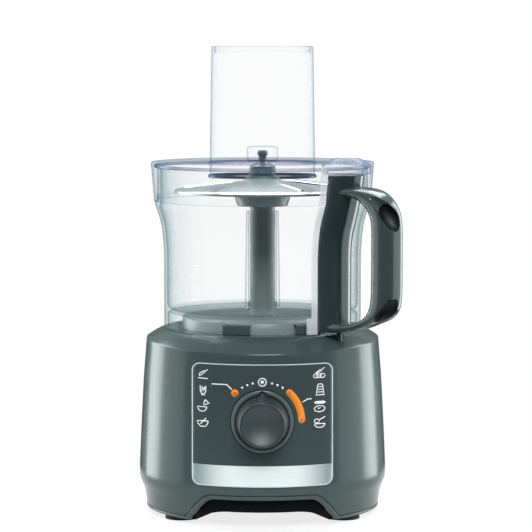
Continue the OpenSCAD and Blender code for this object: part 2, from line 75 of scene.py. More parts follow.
# Name, place, aim, size, watts, colour
LAMPS = (
    ("left_softbox", (-1.1, 0.8, 0.25), (0, 0.8, 0.1), (0.8, 1.7), 18, COOL_LIGHT),
    ("left_reflector", (-1.12, 0.3, 0.25), (0, 0.3, 0.1), (1.1, 1.7), 8.5, COOL_LIGHT),
    ("right_softbox", (1.1, 0.7, 0.25), (0, 0.7, 0.1), (0.7, 1.7), 15, COOL_LIGHT),
    ("right_reflector", (1.12, 0.25, 0.25), (0, 0.25, 0.1), (1.2, 1.7), 8.5, COOL_LIGHT),
    ("top_softbox", (0, 0.7, 1.4), (0, 0, 0.15), (1.3, 1.0), 26, WHITE_LIGHT),
    ("front_fill", (0.1, -1.9, 1.8), (0, 0, 0.2), (1.2, 1.0), 52, WHITE_LIGHT),
)


def place_camera():
    lens = bpy.data.cameras.new("camera")
    lens.sensor_width = 36
    lens.lens = FOCAL_LENGTH
    lens.clip_start = 0.05
    lens.clip_end = 20
    camera = put_in_scene("camera", lens)
    camera.location = ((SPINDLE.x + CAMERA_ASIDE) * MM, (SPINDLE.y - CAMERA_BACK) * MM, CAMERA_HEIGHT * MM)
    camera.rotation_euler = (math.radians(90 - CAMERA_TILT), 0, 0)
    bpy.context.scene.camera = camera


def light_the_set():
    """Tall softboxes beside and behind give the bright bands at the edges; a fill comes from the front."""
    for name, place, aim, size, watts, colour in LAMPS:
        lamp = bpy.data.lights.new(name, "AREA")
        lamp.shape = "RECTANGLE"
        lamp.size, lamp.size_y = size
        lamp.energy = watts
        lamp.color = colour
        holder = put_in_scene(name, lamp)
        holder.location = place
        holder.rotation_euler = (Vector(aim) - Vector(place)).to_track_quat("-Z", "Y").to_euler()


# Shader maths

class Wire:
    """One output socket, with the arithmetic of Math nodes."""

    def __init__(self, finish, socket):
        self.finish = finish
        self.socket = socket

    def math(self, operation, *others):
        sockets = {i: value for i, value in enumerate((self,) + others)}
        return self.finish.add("ShaderNodeMath", {"operation": operation}, sockets)[0]

    def __add__(self, other):
        return self.math("ADD", other)

    def __mul__(self, other):
        return self.math("MULTIPLY", other)

    def __sub__(self, other):
        return self.math("SUBTRACT", other)

    def __truediv__(self, other):
        return self.math("DIVIDE", other)

    def __rsub__(self, other):
        return (self * -1) + other

    def __pow__(self, other):
        return self.math("POWER", other)

    def clamp(self):
        return self.math("MAXIMUM", 0).math("MINIMUM", 1)

    __radd__ = __add__
    __rmul__ = __mul__


class Outputs:
    """The outputs of one node, by name or number."""

    def __init__(self, finish, node):
        self.finish = finish
        self.node = node

    def __getitem__(self, key):
        return Wire(self.finish, self.node.outputs[key])


class Finish:
    """One material, or the world, under construction."""

    def __init__(self, name, tree=None):
        if tree is None:
            self.material = bpy.data.materials.new(name)
            self.material.use_nodes = True
            tree = self.material.node_tree
        self.tree = tree
        tree.nodes.clear()

    def add(self, kind, settings=None, sockets=None):
        node = self.tree.nodes.new(kind)
        for key, value in (settings or {}).items():
            setattr(node, key, value)
        for key, value in (sockets or {}).items():
            if isinstance(value, Wire):
                self.tree.links.new(value.socket, node.inputs[key])
            else:
                node.inputs[key].default_value = value
        return Outputs(self, node)

    def place(self):
        return self.add("ShaderNodeTexCoord")["Object"]

    def axes(self):
        """The place on the object, taken apart into X, Y and Z in metres."""
        return self.add("ShaderNodeSeparateXYZ", {}, {0: self.place()})

    def noise(self, scale, detail=3.0, stretch=None):
        at = self.place()
        if stretch:
            at = self.add("ShaderNodeMapping", {}, {"Vector": at, "Scale": stretch})[0]
        return self.add("ShaderNodeTexNoise", {}, {"Vector": at, "Scale": scale, "Detail": detail})["Fac"]

    def mix(self, amount, low, high):
        return self.add("ShaderNodeMix", {"data_type": "RGBA"}, {0: amount, 6: low, 7: high})[2]

    def bump(self, height, strength, distance):
        sockets = {"Height": height, "Strength": strength, "Distance": distance}
        return self.add("ShaderNodeBump", {}, sockets)[0]

    def skin(self, sockets):
        return self.add("ShaderNodeBsdfPrincipled", {}, sockets)[0]

    def surface(self, shader):
        out = self.add("ShaderNodeOutputMaterial")
        self.tree.links.new(shader.socket, out.node.inputs["Surface"])
        return self.material


def srgb(code):
    channels = [int(code[i:i + 2], 16) / 255 for i in (1, 3, 5)]
    return tuple(c / 12.92 if c <= 0.04045 else ((c + 0.055) / 1.055) ** 2.4 for c in channels) + (1.0,)


def shade(colour, factor):
    return tuple(min(1.0, c * factor) for c in colour[:3]) + (colour[3],)


# Finishes

def moulded_plastic(name, code, roughness=0.22, grain=0.08, grain_scale=900.0, drift=0.05, shine=0.4):
    """Injection-moulded plastic: a faint colour drift, handling marks in the gloss, a fine skin texture."""
    f = Finish(name)
    colour = srgb(code)
    cloud = f.noise(9.0, 4.0)
    marks = f.noise(38.0, 5.0)
    texture = f.noise(grain_scale, 2.0)
    return f.surface(f.skin({
        "Base Color": f.mix(cloud, shade(colour, 1 - drift), shade(colour, 1 + drift)),
        "Roughness": (marks * 0.12 + (roughness - 0.06)).clamp(),
        "Specular IOR Level": shine,
        "Normal": f.bump(texture, grain, 0.0002)}))


def brushed_metal(name, code, roughness=0.3, stretch=(1, 1, 60)):
    """Metal with fine brush lines along one direction."""
    f = Finish(name)
    colour = srgb(code)
    lines = f.noise(45.0, 4.0, stretch)
    cloud = f.noise(12.0, 3.0)
    return f.surface(f.skin({
        "Base Color": f.mix(lines * 0.7 + cloud * 0.3, shade(colour, 0.86), shade(colour, 1.1)),
        "Metallic": 1.0,
        "Roughness": (lines * 0.16 + (roughness - 0.08)).clamp(),
        "Normal": f.bump(lines, 0.12, 0.0003)}))


def silver_band(name, middle_code, shaded_end_code):
    """Silvered plastic on a curved front, with painted shade: its colour is painted darker towards both of
    its ends.
    """
    f = Finish(name)
    middle, end = srgb(middle_code), srgb(shaded_end_code)
    band_half = 0.05
    aside = ((f.axes()["X"] - SPINDLE.x * MM) ** 2) ** 0.5 / band_half
    # Painted shade: the colour goes darker and more metallic towards both ends of the band.
    painted_end_shade = ((aside - 0.5) / 0.5).clamp() ** 1.5
    lines = f.noise(60.0, 4.0, (1, 1, 40))
    return f.surface(f.skin({
        "Base Color": f.mix(lines * 0.15, f.mix(painted_end_shade, middle, end), shade(end, 0.9)),
        "Metallic": painted_end_shade * 0.3 + 0.1,
        "Roughness": lines * 0.1 + 0.3,
        "Normal": f.bump(lines, 0.05, 0.0003)}))


def turned_metal(name, code, roughness=0.25):
    """Sheet metal spun on a lathe: fine rings round the spindle."""
    f = Finish(name)
    colour = srgb(code)
    place = f.axes()
    x = place["X"] - SPINDLE.x * MM
    y = place["Y"] - SPINDLE.y * MM
    radius = (x * x + y * y) ** 0.5 * 1000
    at = f.add("ShaderNodeCombineXYZ", {}, {0: radius})[0]
    rings = f.add("ShaderNodeTexNoise", {}, {"Vector": at, "Scale": 2.2, "Detail": 4.0})["Fac"]
    cloud = f.noise(20.0, 3.0)
    return f.surface(f.skin({
        "Base Color": f.mix(rings * 0.6 + cloud * 0.4, shade(colour, 0.84), shade(colour, 1.08)),
        "Metallic": 0.85,
        "Roughness": (rings * 0.2 + (roughness - 0.08)).clamp(),
        "Normal": f.bump(rings, 0.15, 0.0002)}))


def clear_plastic(name, tint_code, edge_reflection_code, body, edge, sharp):
    """Clear moulded plastic: see-through face on, tinted and glossy where it turns edge on, with a painted
    reflection colour there.
    """
    f = Finish(name)
    edge_reflection_colour = srgb(edge_reflection_code)
    facing = f.add("ShaderNodeLayerWeight", {}, {"Blend": 0.5})["Facing"]
    haze = f.noise(14.0, 3.0)
    amount = ((facing ** sharp) * edge + haze * 0.02 + body).clamp()
    tint = f.mix(facing ** 2.5, srgb("#ffffff"), srgb(tint_code))
    through = f.add("ShaderNodeBsdfTransparent", {}, {"Color": tint})[0]
    gloss = f.skin({
        "Base Color": f.mix(haze, edge_reflection_colour, shade(edge_reflection_colour, 1.12)),
        "Roughness": haze * 0.04 + 0.05,
        "Specular IOR Level": 0.4})
    return f.surface(f.add("ShaderNodeMixShader", {}, {0: amount, 1: through, 2: gloss})[0])


def print_ink(name, code):
    """Screen-printed ink: flat colour with a slightly uneven lay-down."""
    f = Finish(name)
    colour = srgb(code)
    lay = f.noise(700.0, 3.0)
    return f.surface(f.skin({
        "Base Color": f.mix(lay, shade(colour, 0.93), shade(colour, 1.04)),
        "Roughness": 0.35 + lay * 0.1,
        "Normal": f.bump(lay, 0.08, 0.0001)}))


# The floor's shadow is whole out to the first radius and gone by the next; the disc ends at the last.
SHADOW_R = 0.11
SHADOW_FADE = 0.12
FLOOR_R = 0.26


def pale_floor():
    """The ground keeps the shadow near the object and fades to plain white further out."""
    f = Finish("pale_floor")
    path = f.add("ShaderNodeLightPath")
    seen = (path["Is Camera Ray"] + path["Is Glossy Ray"] + path["Is Transmission Ray"]).clamp()
    place = f.axes()
    away = (place["X"] * place["X"] + place["Y"] * place["Y"]) ** 0.5
    fade = ((away - SHADOW_R) / SHADOW_FADE).clamp()
    mottle = f.noise(6.0, 2.0)
    ground = f.add("ShaderNodeBsdfDiffuse", {}, {
        "Color": f.mix(mottle, (0.8, 0.8, 0.8, 1), (0.84, 0.84, 0.84, 1))})[0]
    glow = f.add("ShaderNodeEmission", {}, {"Color": (1, 1, 1, 1), "Strength": 1.0})[0]
    share = seen * (fade * 0.2 + 0.8)
    return f.surface(f.add("ShaderNodeMixShader", {}, {0: share, 1: ground, 2: glow})[0])


def studio_world():
    """White to the camera and through clear parts; its light is brighter above and dark far behind."""
    world = bpy.data.worlds.new("studio")
    bpy.context.scene.world = world
    world.use_nodes = True
    f = Finish("studio", world.node_tree)
    path = f.add("ShaderNodeLightPath")
    seen = (path["Is Camera Ray"] + path["Is Transmission Ray"] + path["Is Glossy Ray"] * 0.05).clamp()
    way = f.add("ShaderNodeSeparateXYZ", {}, {0: f.add("ShaderNodeTexCoord")["Generated"]})
    behind = ((way["Y"] - 0.84) / 0.1).clamp()
    dome = (way["Z"] * 0.35 + way["Y"] * 0.15 + 0.3 - behind * 0.36).clamp()
    back = f.add("ShaderNodeBackground", {}, {
        "Color": f.mix(seen, (0.93, 1, 1, 1), (1, 1, 1, 1)), "Strength": seen + (1 - seen) * dome})[0]
    out = f.add("ShaderNodeOutputWorld")
    f.tree.links.new(back.socket, out.node.inputs["Surface"])


HOUSING = moulded_plastic("housing_plastic", "#384747", 0.2, 0.03, drift=0.03)
COLUMN = moulded_plastic("column_plastic", "#223033", 0.14, 0.03, drift=0.03, shine=0.8)
HANDLE = moulded_plastic("handle_plastic", "#313e3f", 0.16, 0.03, drift=0.03, shine=0.7)
TRIM = moulded_plastic("trim_plastic", "#3c494a", 0.3, 0.05)
# Near-black underside: a dark plastic, made darker still as painted shade under the base's arch.
UNDERSIDE_AND_SHADE = moulded_plastic("underside_plastic_and_painted_shade", "#040608", 0.7, 0.3, 500.0, shine=0.1)
RUBBER = moulded_plastic("foot_rubber", "#1a1b1c", 0.75, 0.4, 420.0)
PANEL = moulded_plastic("panel_overlay", "#354244", 0.34, 0.12, 1400.0, drift=0.03)
LINE = print_ink("bright_line", "#c6d0d0")
TURRET = moulded_plastic("turret_plastic", "#7f8a8a", 0.3)
# The silver band's darker end colour is painted shade.
STRIP = silver_band("silver_strip", "#e3e9e9", "#93a5a6")
# Near-black painted shade, laid as strips, rings and cut faces in seams, gaps and hollows where shade falls.
GAP_SHADE = moulded_plastic("painted_gap_shade", "#0d1214", 0.5)
BEZEL = moulded_plastic("bezel_plastic", "#536061", 0.3, 0.1)
KNOB = moulded_plastic("dial_plastic", "#232e30", 0.45, 0.1, 700.0)
DISH = moulded_plastic("dial_dish_plastic", "#273537", 0.5, 0.05, 700.0, shine=0.8)
WHITE_INK = print_ink("white_ink", "#fbfdfd")
ORANGE_INK = print_ink("orange_ink", "#ef8a1f")
BROWN_INK = print_ink("brown_ink", "#9c4a10")
# The edge colours are painted reflection: the darker surroundings seen in and through the clear edges.
CLEAR_BOWL = clear_plastic("clear_bowl_plastic", "#dde6e8", "#8d9ca1", 0.01, 0.6, 4.6)
CLEAR_LID = clear_plastic("clear_lid_plastic", "#dfe7ec", "#8797a8", 0.01, 0.65, 5.5)
CLEAR_BLOCK = clear_plastic("clear_block_plastic", "#cdd6e2", "#8c99b4", 0.06, 0.7, 2.4)
# Near-white and partly opaque: painted highlight that makes the clear fins read bright.
CLEAR_FIN_HIGHLIGHT = clear_plastic("clear_fin_painted_highlight", "#f3f6fa", "#eef2f6", 0.42, 0.4, 1.8)
CLEAR_EDGE_DARK = clear_plastic("clear_edge_shadow", "#8f9db6", "#56658a", 0.25, 0.6, 1.4)
TOOL = moulded_plastic("tool_plastic", "#7d8886", 0.35, 0.1)
CAP = moulded_plastic("cap_plastic", "#3d4746", 0.3, 0.1)
DISC = turned_metal("disc_steel", "#c3c9ca")
BLADE = brushed_metal("blade_steel", "#dfe4e5", 0.18, (1, 40, 1))
STEEL = brushed_metal("plated_steel", "#b7bcbe", 0.3)
BRONZE = brushed_metal("sintered_bronze", "#a98458", 0.4)
COPPER = brushed_metal("copper", "#b0602f", 0.35)
NYLON = moulded_plastic("natural_nylon", "#dcd9cd", 0.45, 0.1)
BOARD = moulded_plastic("circuit_board", "#2f6b45", 0.4, 0.1)
YELLOW = moulded_plastic("capacitor_case", "#cf9c22", 0.35, 0.1)

FINISHES = {
    HOUSING: ["motor_housing"],
    HANDLE: ["bowl_handle", "handle_column"],
    TRIM: ["base_trim"],
    UNDERSIDE_AND_SHADE: ["base_plate", "cooling_fan", "carbon_brushes"],
    KNOB: ["speed_dial"],
    RUBBER: ["rubber_feet", "motor_buffers", "cord_gland", "drive_belt"],
    PANEL: ["control_panel"],
    LINE: ["panel_frame"],
    STRIP: ["blank_strip"],
    BEZEL: ["dial_bezel"],
    CLEAR_BOWL: ["bowl", "bowl_floor"],
    CLEAR_LID: ["lid"],
    TOOL: ["tool_shaft", "disc_hub"],
    CAP: ["shaft_cap", "interlock_plunger", "interlock_rod"],
    DISC: ["slicing_disc"],
    BLADE: ["disc_blade"],
    BOARD: ["control_board"],
    YELLOW: ["suppression_capacitor"],
    STEEL: ["bearing_plate", "motor_stator", "motor_end_frames", "motor_screws", "housing_screws",
            "rod_spring", "plunger_spring", "armature_shaft", "armature_core",
            "drive_spindle", "motor_pulley", "drive_coupling"],
    BRONZE: ["spindle_bearings", "motor_bearings", "brush_holders"],
    COPPER: ["field_windings", "commutator"],
    NYLON: ["rotary_switch", "interlock_switch", "spindle_pulley"],
}


# Mesh tools

def steps_between(low, high, count):
    return [low + (high - low) * i / count for i in range(count + 1)]


def whole_turn(count):
    return [math.radians(360 * i / count) for i in range(count)]


def curve_through(points):
    """A smooth curve through (position, value) pairs, without overshoot."""
    xs = [p[0] for p in points]
    ys = [p[1] for p in points]
    slopes = [(ys[i + 1] - ys[i]) / (xs[i + 1] - xs[i]) for i in range(len(xs) - 1)]
    lean = [slopes[0]] + [0 if a * b <= 0 else 2 * a * b / (a + b) for a, b in zip(slopes, slopes[1:])]
    lean.append(slopes[-1])

    def value(x):
        x = min(max(x, xs[0]), xs[-1])
        i = min(max(k for k in range(len(xs)) if xs[k] <= x), len(xs) - 2)
        step = xs[i + 1] - xs[i]
        t = (x - xs[i]) / step
        return ((1 + 2 * t) * (1 - t) ** 2 * ys[i] + t * (1 - t) ** 2 * step * lean[i]
                + t * t * (3 - 2 * t) * ys[i + 1] + t * t * (t - 1) * step * lean[i + 1])
    return value


def smooth_path(points, parts):
    """A Catmull-Rom curve through points of any dimension."""
    path = []
    for i in range(len(points) - 1):
        p0, p1 = points[max(i - 1, 0)], points[i]
        p2, p3 = points[i + 1], points[min(i + 2, len(points) - 1)]
        for k in range(parts):
            t = k / parts
            path.append(tuple(0.5 * (2 * b + (c - a) * t
                                     + (2 * a - 5 * b + 4 * c - d) * t * t
                                     + (3 * b - a - 3 * c + d) * t ** 3)
                              for a, b, c, d in zip(p0, p1, p2, p3)))
    path.append(tuple(points[-1]))
    return path


def face_outwards(mesh, scale=None, merge=None):
    """Turns a mesh's faces outwards, after scaling it and joining its doubled points if asked to."""
    work = bmesh.new()
    work.from_mesh(mesh)
    if scale:
        bmesh.ops.scale(work, vec=(scale, scale, scale), verts=work.verts)
    if merge:
        bmesh.ops.remove_doubles(work, verts=work.verts, dist=merge)
    bmesh.ops.recalc_face_normals(work, faces=work.faces)
    work.to_mesh(mesh)
    work.free()


def smooth_between(mesh, angle):
    mesh.shade_smooth()
    mesh.set_sharp_from_angle(angle=math.radians(angle))


def finish_piece(name, points, faces, finish, body, stands_for=(), angle=32, thickness=0, rounding=0):
    """Makes a piece from points in millimetres; it rides on its body."""
    mesh = bpy.data.meshes.new(name)
    mesh.from_pydata(points, [], faces)
    face_outwards(mesh, scale=MM, merge=1e-6)
    mesh.materials.append(finish)
    piece = put_in_scene(name, mesh)
    if thickness:
        skin = piece.modifiers.new("thickness", "SOLIDIFY")
        skin.thickness = thickness * MM
        skin.offset = 0
    if rounding:
        edge = piece.modifiers.new("rounding", "BEVEL")
        edge.width = rounding * MM
        edge.segments = 3
        edge.limit_method = "ANGLE"
        edge.angle_limit = math.radians(angle)
    smooth_between(mesh, angle)
    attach(piece, body)
    if stands_for:
        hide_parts(*stands_for)
    return piece


def ring_faces(wide, tall, wrap, loop):
    """Faces between rows of points; wrap joins each row's ends, loop joins the last row to the first."""
    faces = []
    for i in range(tall if loop else tall - 1):
        for j in range(wide if wrap else wide - 1):
            k, m = (i + 1) % tall, (j + 1) % wide
            faces.append((i * wide + j, i * wide + m, k * wide + m, k * wide + j))
    return faces


def grid(name, rows, finish, body, wrap=False, loop=False, **more):
    """A surface through rows of points."""
    points = [p for row in rows for p in row]
    return finish_piece(name, points, ring_faces(len(rows[0]), len(rows), wrap, loop), finish, body, **more)


def turned(name, profile, finish, body, steps, closed=False, start=0.0, sweep=360.0, axis=SPINDLE, **more):
    """A profile of (radius, height) turned about the spindle, or about another upright axis."""
    whole = sweep >= 360
    angles = [math.radians(start + sweep * i / steps) for i in range(steps if whole else steps + 1)]
    rows = [[(axis.x + r * math.cos(a), axis.y + r * math.sin(a), z) for a in angles] for r, z in profile]
    return grid(name, rows, finish, body, wrap=whole, loop=closed, **more)


def closed_tube(name, rows, finish):
    """A body through rings of points in millimetres, with flat ends. It isn't a piece yet."""
    wide, tall = len(rows[0]), len(rows)
    points = [[c * MM for c in p] for row in rows for p in row]
    faces = ring_faces(wide, tall, True, False)
    faces.append(tuple(range(wide)))
    faces.append(tuple((tall - 1) * wide + k for k in reversed(range(wide))))
    mesh = bpy.data.meshes.new(name)
    mesh.from_pydata(points, [], faces)
    mesh.materials.append(finish)
    face_outwards(mesh)
    return put_in_scene(name, mesh)


def carve(piece, cutter):
    """Cuts one closed body out of another; the cut takes the cutter's finish."""
    cut = piece.modifiers.new("cut", "BOOLEAN")
    cut.operation = "DIFFERENCE"
    cut.solver = "EXACT"
    cut.material_mode = "TRANSFER"
    cut.object = cutter
    bpy.context.view_layer.update()
    shaped = piece.evaluated_get(bpy.context.evaluated_depsgraph_get())
    mesh = bpy.data.meshes.new_from_object(shaped)
    piece.modifiers.remove(cut)
    spent = (piece.data, cutter.data)
    piece.data = mesh
    bpy.data.objects.remove(cutter)
    for old in spent:
        bpy.data.meshes.remove(old)


# The motor base

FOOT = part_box("base_trim")[0].z / MM
BASE_R = 98.75
SIDE = curve_through([(FOOT + z, BASE_R - inset) for z, inset in (
    (0, 5.8), (4, 5.5), (9, 5.0), (14, 4.1), (19, 2.2), (23, 0.6), (27, 0.0), (34, 0.2), (60, 1.3),
    (82, 2.4), (104, 3.6), (122, 5.0), (131, 5.7), (135, 6.0))])
ARCH_R = 95
SEAM_GAP = 0.75
CREASE_HIGH = 139.2
CREASE_DIP = 4.2
SHOULDER_R = 92.2
SHOULDER_WIDTH = 13.0
BOWL_SEAT = 146.1
TURRET_R = 64
TURRET_TOP = 155.6
HUB_LUG_STARTS = (64, 112, 244, 292)
LUG_SWEEP = 18
ROUND = whole_turn(288)


def arch_edge(angle, crown, foot_half, crown_half, low):
    """Height of the base's lower edge: level, and rising into an arch at the front."""
    across = abs(ARCH_R * math.sin(angle))
    if math.cos(angle) < 0 or across >= foot_half:
        return low
    share = min(1.0, (foot_half - across) / (foot_half - crown_half))
    return low + (crown - low) * math.sin(share * math.pi / 2)


def seam_edge(angle):
    return arch_edge(angle, FOOT + 22.7, 61, 37, FOOT + 2.8)


def lip_edge(angle):
    return arch_edge(angle, FOOT + 18.6, 58, 36, FOOT)


def lip_middle(angle):
    return (seam_edge(angle) + lip_edge(angle)) / 2


def crease(angle):
    """Height of the edge where the wall turns into the shoulder; it dips towards the front."""
    return CREASE_HIGH - CREASE_DIP * max(0.0, math.cos(angle))


def round_the_spindle(angle, r, z):
    """A point at an angle from the front."""
    return (SPINDLE.x + r * math.sin(angle), SPINDLE.y - r * math.cos(angle), z)


def level_ring(r, z):
    return [round_the_spindle(a, r, z) for a in ROUND]


def on_side(angle, z, lift=0.0):
    return round_the_spindle(angle, SIDE(z) + lift, z)


def edge_ring(edge, up, lift):
    """One ring of the base's wall, a little above or below one of its edges and lifted off its side."""
    return [on_side(a, edge(a) + up, lift) for a in ROUND]


def wall_ring(share):
    """One ring of the base's wall between its seam (0) and its crease (1)."""
    return [on_side(a, seam_edge(a) + 0.4 + (crease(a) - 1.4 - seam_edge(a)) * share) for a in ROUND]


def shoulder_ring(share):
    """One ring of the sloping shoulder, from its outer edge (0) to the bowl's seat (1)."""
    rise = 1 - (1 - share) ** 1.3
    r = SHOULDER_R - SHOULDER_WIDTH * share
    return [round_the_spindle(a, r, crease(a) + 0.5 + (BOWL_SEAT - crease(a)) * rise) for a in ROUND]


def on_base(x, z, lift):
    """A point on the front of the base, x across and z up."""
    r = SIDE(z) + lift
    return (SPINDLE.x + x, SPINDLE.y - math.sqrt(r * r - x * x), z)


def make_base_shell():
    rows = [edge_ring(seam_edge, up, lift) for up, lift in ((1.2, -2.4), (0, -2.2), (0, -0.45), (0.15, -0.1))]
    rows += [wall_ring(share) for share in steps_between(0, 1, 48)[1:]]
    rows += [edge_ring(crease, -0.3, -0.15), edge_ring(crease, 0.2, -0.4)]
    rows += [shoulder_ring(share) for share in (0, 0.06, 0.14, 0.25, 0.38, 0.52, 0.66, 0.8, 0.92, 1)]
    rows += [level_ring(r, BOWL_SEAT + 0.6) for r in (78.6, TURRET_R + 0.1)]
    grid("base_shell", rows, HOUSING, "base", wrap=True, stands_for=["motor_housing"], angle=50)
    turret = [(TURRET_R, BOWL_SEAT + 0.1), (TURRET_R, TURRET_TOP - 0.7), (TURRET_R - 0.6, TURRET_TOP),
              (12.6, TURRET_TOP), (12, TURRET_TOP - 0.6), (12, 148)]
    grid("drive_turret", [level_ring(r, z) for r, z in turret], TURRET, "base", wrap=True, angle=50)


def make_base_lip():
    rows = [edge_ring(seam_edge, -SEAM_GAP, -2.4)]
    for up, lift in ((0.2, -2.4), (0, -1.9), (0.15, -0.5), (0.7, -0.1)):
        rows.append(edge_ring(lip_edge, up, lift))
    rows.append(edge_ring(lip_middle, 0, 0))
    rows += [edge_ring(seam_edge, -SEAM_GAP - 0.5, -0.1), edge_ring(seam_edge, -SEAM_GAP, -0.5)]
    grid("base_lip", rows, TRIM, "base", wrap=True, loop=True, stands_for=["base_trim"], angle=50)
    # A near-black strip sunk into the seam: painted shadow in the seam.
    seam = [edge_ring(seam_edge, up, -0.62) for up in (-0.5, 0.5)]
    grid("seam_shadow", seam, GAP_SHADE, "base", wrap=True)


def make_hub_lugs():
    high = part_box("motor_housing")[1].z / MM
    low = high - 8.6
    section = [(63.2, low), (70.4, low), (70.4, low + 6.6), (69.6, low + 7.4), (63.2, low + 7.4)]
    for k, start in enumerate(HUB_LUG_STARTS):
        turned("hub_lug_%d" % k, section, HOUSING, "base", 12, closed=True, start=start, sweep=LUG_SWEEP,
               rounding=0.6)


# The control panel

PANEL_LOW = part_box("panel_frame")[0].z / MM
PANEL_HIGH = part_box("panel_frame")[1].z / MM
PANEL_HALF = (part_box("panel_frame")[1].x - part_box("panel_frame")[0].x) / 2 / MM
PANEL_CORNER = 6.4
STRIP_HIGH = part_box("blank_strip")[1].z / MM


def panel_half_width(z, margin):
    """Half the width of the panel's rounded outline at a height."""
    corner = PANEL_CORNER - margin
    rise = min(z - PANEL_LOW - margin, PANEL_HIGH - margin - z)
    if rise >= corner:
        return PANEL_HALF - margin
    drop = corner - max(rise, 0.0)
    return PANEL_HALF - margin - corner + math.sqrt(max(corner * corner - drop * drop, 0.0))


def panel_field(name, low, high, margin, lift, finish, stands_for):
    """A curved sheet that fills the panel's outline between two heights; its rows crowd at the corners."""
    heights = [low + (high - low) * (1 - math.cos(math.pi * i / 60)) / 2 for i in range(61)]
    shares = steps_between(-1, 1, 72)
    rows = [[on_base(share * panel_half_width(z, margin), z, lift) for share in shares] for z in heights]
    grid(name, rows, finish, "base", stands_for=stands_for, thickness=0.4, angle=40)


def panel_outline(margin):
    corner = PANEL_CORNER - margin
    across = PANEL_HALF - margin - corner
    high, low = PANEL_HIGH - margin - corner, PANEL_LOW + margin + corner
    points = []
    for x, z, start in ((across, high, 0), (-across, high, 90), (-across, low, 180), (across, low, 270)):
        for i in range(13):
            a = math.radians(start + 90 * i / 12)
            points.append((x + corner * math.cos(a), z + corner * math.sin(a)))
    return points


def stroke(points, width, lift, closed=False):
    """Rows of points for a line of the given width laid on the base's front."""
    path = []
    count = len(points)
    for i in range(count if closed else count - 1):
        a, b = Vector(points[i]), Vector(points[(i + 1) % count])
        parts = max(1, int((b - a).length / 1.5))
        path += [a.lerp(b, k / parts) for k in range(parts)]
    if not closed:
        path.append(Vector(points[-1]))
    left, right = [], []
    for i, point in enumerate(path):
        before = path[i - 1] if closed or i > 0 else point
        after = path[(i + 1) % len(path)] if closed or i < len(path) - 1 else point
        along = (after - before).normalized()
        side = Vector((-along.y, along.x)) * width / 2
        left.append(on_base(point.x + side.x, point.y + side.y, lift))
        right.append(on_base(point.x - side.x, point.y - side.y, lift))
    return left, right


INK_LINE = 0.64
DOT_TURN = whole_turn(24)


class Print:
    """Ink laid on the panel: strokes and dots gathered into one thin piece."""

    def __init__(self, lift):
        self.lift = lift
        self.points = []
        self.faces = []

    def line(self, points, width=INK_LINE, closed=False):
        left, right = stroke(points, width, self.lift, closed)
        start, count = len(self.points), len(left)
        self.points += left + right
        for i in range(count if closed else count - 1):
            k = (i + 1) % count
            self.faces.append((start + i, start + k, start + count + k, start + count + i))

    def dot(self, x, z, r):
        start = len(self.points)
        count = len(DOT_TURN)
        self.points.append(on_base(x, z, self.lift))
        self.points += [on_base(x + r * math.cos(a), z + r * math.sin(a), self.lift) for a in DOT_TURN]
        self.faces += [(start, start + 1 + i, start + 1 + (i + 1) % count) for i in range(count)]

    def circle(self, x, z, r, width, squash=1.0):
        self.line([(x + r * math.cos(a), z + squash * r * math.sin(a)) for a in DOT_TURN], width, True)

    def sign(self, x, z, *lines):
        """A small line drawing round (x, z)."""
        for points in lines:
            self.line([(x + a, z + b) for a, b in points])

    def lay(self, name, finish):
        finish_piece(name, self.points, self.faces, finish, "base", thickness=0.08)


MARK_R = 30.2
PULSE_ANGLE = -44.2
SPEED_START = 43.5
SPEED_SWEEP = 44.5


def dial_mark(angle):
    """A place on the ring of marks round the dial, in degrees from its top."""
    a = math.radians(angle)
    return (MARK_R * math.sin(a), DIAL.z + MARK_R * math.cos(a))


def bowl_lines(x, z, w, deep):
    half = [(w, 0), (w * 0.86, -0.5 * deep), (w * 0.45, -deep)]
    return [(x + a, z + b) for a, b in half] + [(x - a, z + b) for a, b in reversed(half)] + [(x + w, z)]


def print_dial_marks(white):
    for angle in (-30.8, -22.4, -14.2, 14.2, 22.4, 30.8):
        white.dot(*dial_mark(angle), 0.85)
    white.circle(*dial_mark(0), 3.0, 0.85)
    white.dot(*dial_mark(0), 1.35)
    white.line([(-38.9, 111.6), (-27.2, 111.6), (-23.0, 107.5)], 0.8)
    white.line([(30.7, 97.9), (34.7, 100.3), (37.8, 100.2)], 0.8)


def print_left_signs(white):
    # Knife over a board
    white.sign(-45.5, 118.9, [(-3.2, -1.4), (-2.8, 0.2), (0.2, 2.4), (1.4, 1.6), (-1.6, -0.9), (-3.2, -1.4)],
               [(0.5, 1.9), (3.5, 3.2)], [(-4, -3.2), (3.6, -3.5)])
    # Tall cup with ribs
    white.sign(-45.5, 106.4, [(-2.4, 3.6), (-2.2, -1.2), (-1.2, -2.6), (1, -2.6), (1.9, -1.2), (2.1, 3.4)],
               [(-1, -1.2), (-0.8, 3), (0.8, -1), (0.9, 2.6)], [(-1.6, -3.6), (1.5, -3.6)])
    # Jug over a bowl
    white.sign(-45.5, 94.6, bowl_lines(-0.8, -0.9, 3.6, 3.4),
               [(1.4, 4.6), (4.7, 1.9), (0.2, 0.4), (1.4, 4.6)])
    # Spoon in a bowl
    white.sign(-45.8, 81.4, bowl_lines(0, 1.4, 4.3, 4.2), [(-2, -1.2), (2.6, 3.7)])


